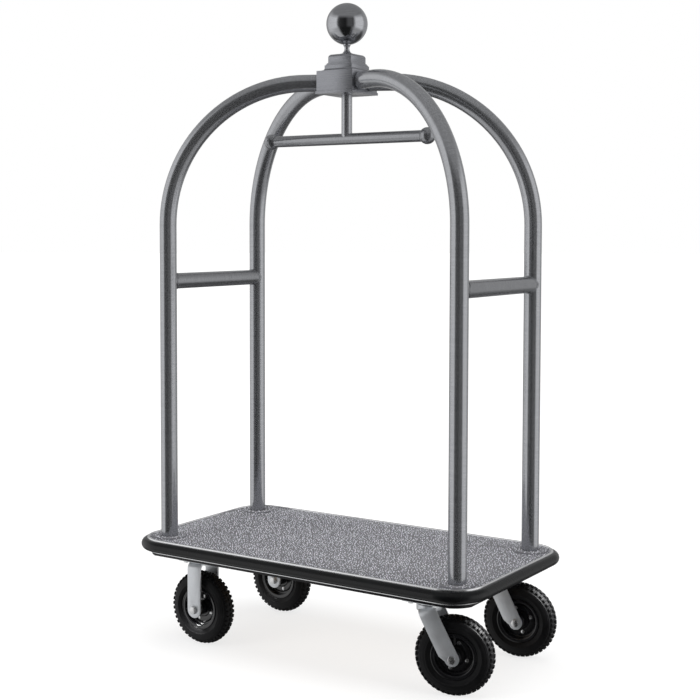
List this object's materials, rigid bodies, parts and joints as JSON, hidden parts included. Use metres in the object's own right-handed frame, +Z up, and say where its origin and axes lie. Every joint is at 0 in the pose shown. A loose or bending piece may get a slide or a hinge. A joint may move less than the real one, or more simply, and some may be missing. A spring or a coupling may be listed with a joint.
{
  "type": "hotel luggage cart",
  "caption": "Birdcage hotel luggage cart: a carpeted deck with rubber bumper on rigid and swivel pneumatic casters, under arched tubes with hand rails, garment bar and ball finial.",
  "frame": {"origin": "on the floor under the middle of the deck", "axes": "+Z up, +X along the deck towards the swivel casters, +Y across the deck"},
  "size_m": [1.092, 0.594, 1.7815],
  "materials": {
    "deck_wood": "plywood",
    "carpet": "mottled grey loop pile",
    "trim_metal": "polished",
    "bumper_rubber": "smooth gloss",
    "frame_paint": "satin black",
    "tube_metal": "brushed dark nickel",
    "crown_metal": "brushed dark nickel",
    "ball_metal": "satin dark nickel",
    "zinc_plate": "bright zinc plate",
    "fastener_zinc": "zinc plate",
    "tyre": "black rubber",
    "tube_rubber": "matte black",
    "rim_paint": "gloss black",
    "bearing_steel": "ground"
  },
  "bodies": {
    "cart": {"deck_board": "deck_wood", "deck_carpet": "carpet", "edge_channel": "trim_metal", "bumper": "bumper_rubber", "underframe": "frame_paint", "deck_screws": "fastener_zinc", "post_flanges": "zinc_plate", "post_plugs": "zinc_plate", "post_bolts": "fastener_zinc", "front_left_arch": "tube_metal", "rear_left_arch": "tube_metal", "front_right_arch": "tube_metal", "rear_right_arch": "tube_metal", "left_handrail": "tube_metal", "right_handrail": "tube_metal", "crown_block": "crown_metal", "crown_base_plate": "crown_metal", "crown_screws": "fastener_zinc", "finial_base": "crown_metal", "finial_stem": "tube_metal", "finial_ball": "ball_metal", "hanger_stem": "tube_metal", "garment_bar": "tube_metal", "garment_bar_balls": "tube_metal", "caster_bolts": "fastener_zinc", "front_left_fork": "zinc_plate", "rear_left_fork": "zinc_plate", "left_axle_bolts": "fastener_zinc", "swivel_top_plates": "zinc_plate", "kingpins": "bearing_steel", "swivel_balls": "bearing_steel"},
    "front_left_wheel": {"front_left_tyre": "tyre", "front_left_inner_tube": "tube_rubber", "front_left_rim_outer": "rim_paint", "front_left_rim_inner": "rim_paint", "front_left_rim_bolts": "fastener_zinc", "front_left_bearings": "bearing_steel"},
    "rear_left_wheel": {"rear_left_tyre": "tyre", "rear_left_inner_tube": "tube_rubber", "rear_left_rim_outer": "rim_paint", "rear_left_rim_inner": "rim_paint", "rear_left_rim_bolts": "fastener_zinc", "rear_left_bearings": "bearing_steel"},
    "front_right_wheel": {"front_right_tyre": "tyre", "front_right_inner_tube": "tube_rubber", "front_right_rim_outer": "rim_paint", "front_right_rim_inner": "rim_paint", "front_right_rim_bolts": "fastener_zinc", "front_right_bearings": "bearing_steel"},
    "rear_right_wheel": {"rear_right_tyre": "tyre", "rear_right_inner_tube": "tube_rubber", "rear_right_rim_outer": "rim_paint", "rear_right_rim_inner": "rim_paint", "rear_right_rim_bolts": "fastener_zinc", "rear_right_bearings": "bearing_steel"},
    "front_right_swivel": {"front_right_fork": "zinc_plate", "front_right_axle_bolt": "fastener_zinc"},
    "rear_right_swivel": {"rear_right_fork": "zinc_plate", "rear_right_axle_bolt": "fastener_zinc"}
  },
  "joints": [
    {"name": "front_left_spin", "type": "hinge", "parent": "cart", "child": "front_left_wheel", "pos_m": [-0.357, -0.188, 0.1025], "axis": [0, 1, 0], "continuous": true},
    {"name": "rear_left_spin", "type": "hinge", "parent": "cart", "child": "rear_left_wheel", "pos_m": [-0.357, 0.188, 0.1025], "axis": [0, 1, 0], "continuous": true},
    {"name": "front_right_swivel_turn", "type": "hinge", "parent": "cart", "child": "front_right_swivel", "pos_m": [0.374, -0.188, 0.2365], "axis": [0, 0, 1], "continuous": true},
    {"name": "front_right_spin", "type": "hinge", "parent": "front_right_swivel", "child": "front_right_wheel", "pos_m": [0.43807, -0.16841, 0.1025], "axis": [-0.2924, 0.9563, 0], "continuous": true},
    {"name": "rear_right_swivel_turn", "type": "hinge", "parent": "cart", "child": "rear_right_swivel", "pos_m": [0.374, 0.188, 0.2365], "axis": [0, 0, 1], "continuous": true},
    {"name": "rear_right_spin", "type": "hinge", "parent": "rear_right_swivel", "child": "rear_right_wheel", "pos_m": [0.44035, 0.19733, 0.1025], "axis": [-0.1392, 0.9903, 0], "continuous": true}
  ]
}
